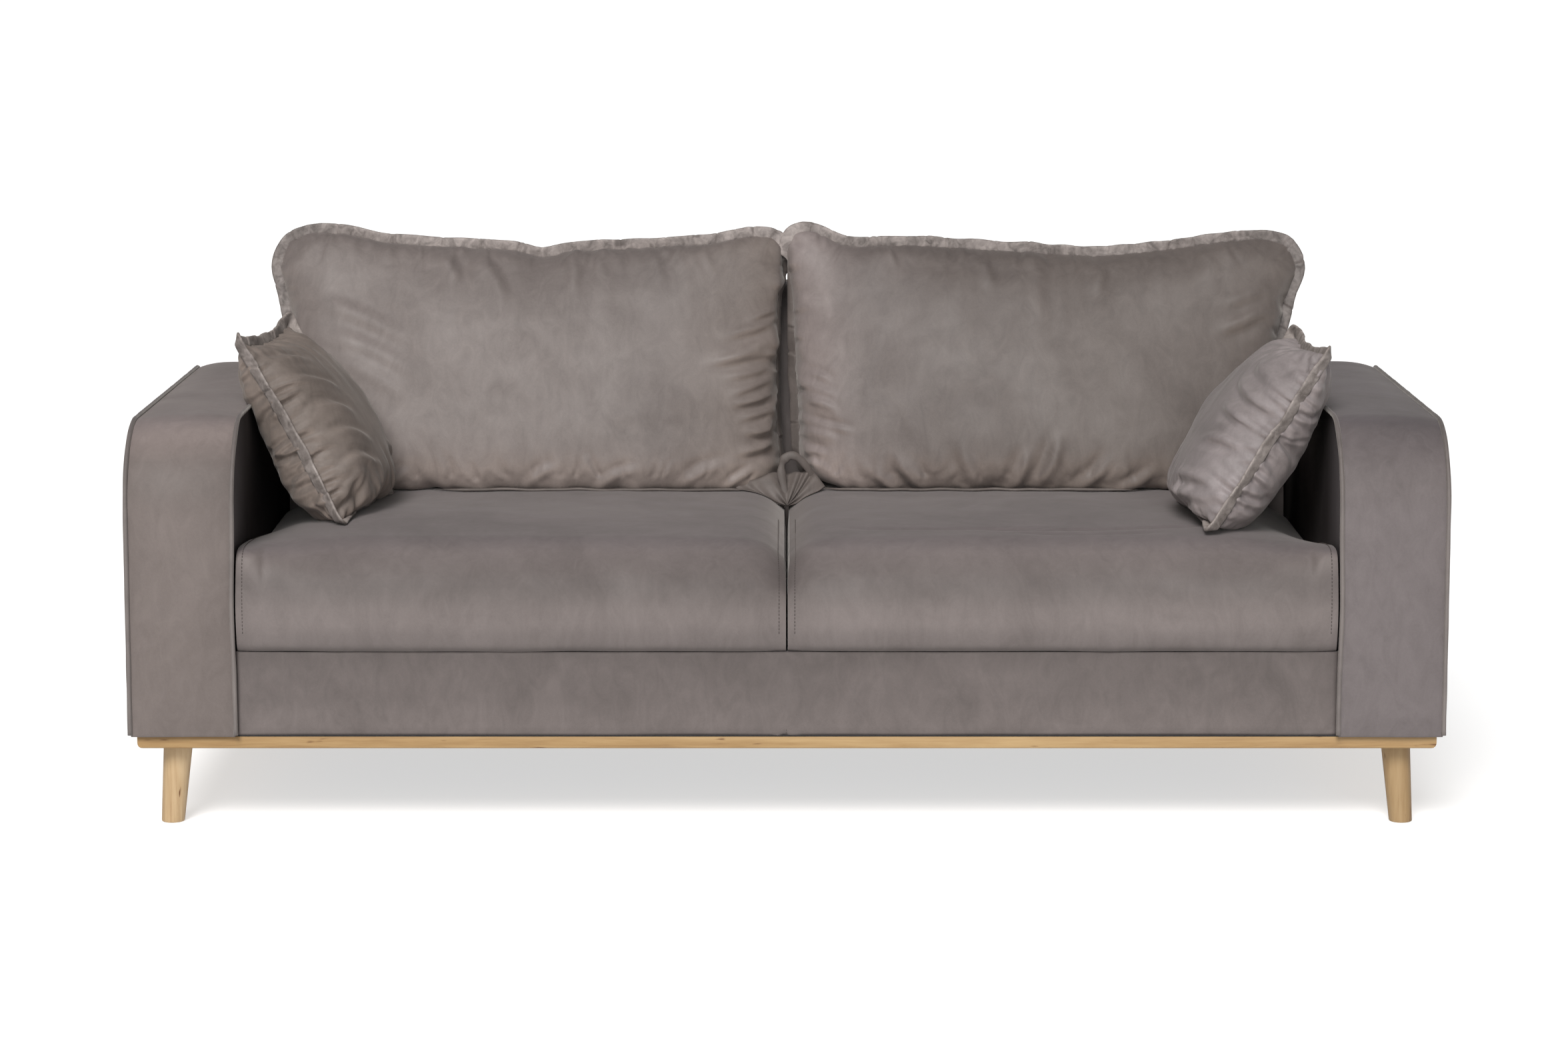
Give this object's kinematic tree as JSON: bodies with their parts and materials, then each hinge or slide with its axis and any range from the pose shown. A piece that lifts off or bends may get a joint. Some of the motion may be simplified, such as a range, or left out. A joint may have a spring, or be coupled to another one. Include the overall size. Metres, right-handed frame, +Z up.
{
  "type": "sofa",
  "caption": "Two-seat sofa with velvet upholstery, piped round-fronted arms, loose back, seat and scatter cushions, and a timber plinth on splayed wooden legs.",
  "frame": {"origin": "on the floor, under the middle of the sofa's width and depth", "axes": "+X to the right as the sofa is looked at from the front, +Y to the rear, +Z up"},
  "size_m": [2.1, 0.8999, 0.911],
  "materials": {
    "velvet": "satin",
    "cushion_velvet": "satin",
    "beech": "satin",
    "pine": "matte",
    "foam": "matte",
    "webbing": "matte",
    "dust_sheet": "matte",
    "steel": "satin"
  },
  "bodies": {
    "frame": {"arm_board_inner_left": "pine", "arm_board_inner_right": "pine", "arm_board_outer_left": "pine", "arm_board_outer_right": "pine", "arm_cover_left": "velvet", "arm_cover_right": "velvet", "arm_foam_left": "foam", "arm_foam_right": "foam", "arm_piping_inner_left": "velvet", "arm_piping_inner_right": "velvet", "arm_piping_outer_left": "velvet", "arm_piping_outer_right": "velvet", "arm_slat_front_left": "pine", "arm_slat_front_right": "pine", "arm_slat_top_left": "pine", "arm_slat_top_right": "pine", "back_bottom_rail": "pine", "back_cover_front": "velvet", "back_cover_rear": "velvet", "back_pad": "foam", "back_post_centre": "pine", "back_post_left": "pine", "back_post_right": "pine", "back_top_rail": "pine", "back_webbing_lower": "webbing", "back_webbing_upper": "webbing", "corner_block_left": "pine", "corner_block_right": "pine", "deck_pad": "foam", "dust_cover": "dust_sheet", "front_panel": "velvet", "hanger_bolt_front_left": "steel", "hanger_bolt_front_right": "steel", "hanger_bolt_rear_left": "steel", "hanger_bolt_rear_right": "steel", "leg_front_left": "beech", "leg_front_right": "beech", "leg_rear_left": "beech", "leg_rear_right": "beech", "plinth_front": "beech", "plinth_left": "beech", "plinth_rear": "beech", "plinth_right": "beech", "seat_rail_centre": "pine", "seat_rail_front": "pine", "seat_rail_rear": "pine", "zigzag_spring_1": "steel", "zigzag_spring_2": "steel", "zigzag_spring_3": "steel", "zigzag_spring_4": "steel", "zigzag_spring_5": "steel", "zigzag_spring_6": "steel"},
    "seat_cushion_left": {"seat_cushion_left": "velvet"},
    "seat_cushion_right": {"seat_cushion_right": "velvet"},
    "back_cushion_left": {"back_cushion_left": "cushion_velvet"},
    "back_cushion_right": {"back_cushion_right": "cushion_velvet"},
    "scatter_cushion_left": {"scatter_cushion_left": "cushion_velvet"},
    "scatter_cushion_right": {"scatter_cushion_right": "cushion_velvet"}
  },
  "joints": [
    {"name": "seat_cushion_left_lift", "type": "slide", "parent": "frame", "child": "seat_cushion_left", "axis": [0, 0, 1], "range_m": [0, 0.4]},
    {"name": "seat_cushion_right_lift", "type": "slide", "parent": "frame", "child": "seat_cushion_right", "axis": [0, 0, 1], "range_m": [0, 0.4]},
    {"name": "back_cushion_left_lift", "type": "slide", "parent": "seat_cushion_left", "child": "back_cushion_left", "axis": [0, 0.1258, 0.9921], "range_m": [0, 0.45]},
    {"name": "back_cushion_right_lift", "type": "slide", "parent": "seat_cushion_right", "child": "back_cushion_right", "axis": [0, 0.1258, 0.9921], "range_m": [0, 0.45]},
    {"name": "scatter_cushion_left_lift", "type": "slide", "parent": "seat_cushion_left", "child": "scatter_cushion_left", "axis": [0, 0, 1], "range_m": [0, 0.35]},
    {"name": "scatter_cushion_right_lift", "type": "slide", "parent": "seat_cushion_right", "child": "scatter_cushion_right", "axis": [0, 0, 1], "range_m": [0, 0.35]}
  ]
}
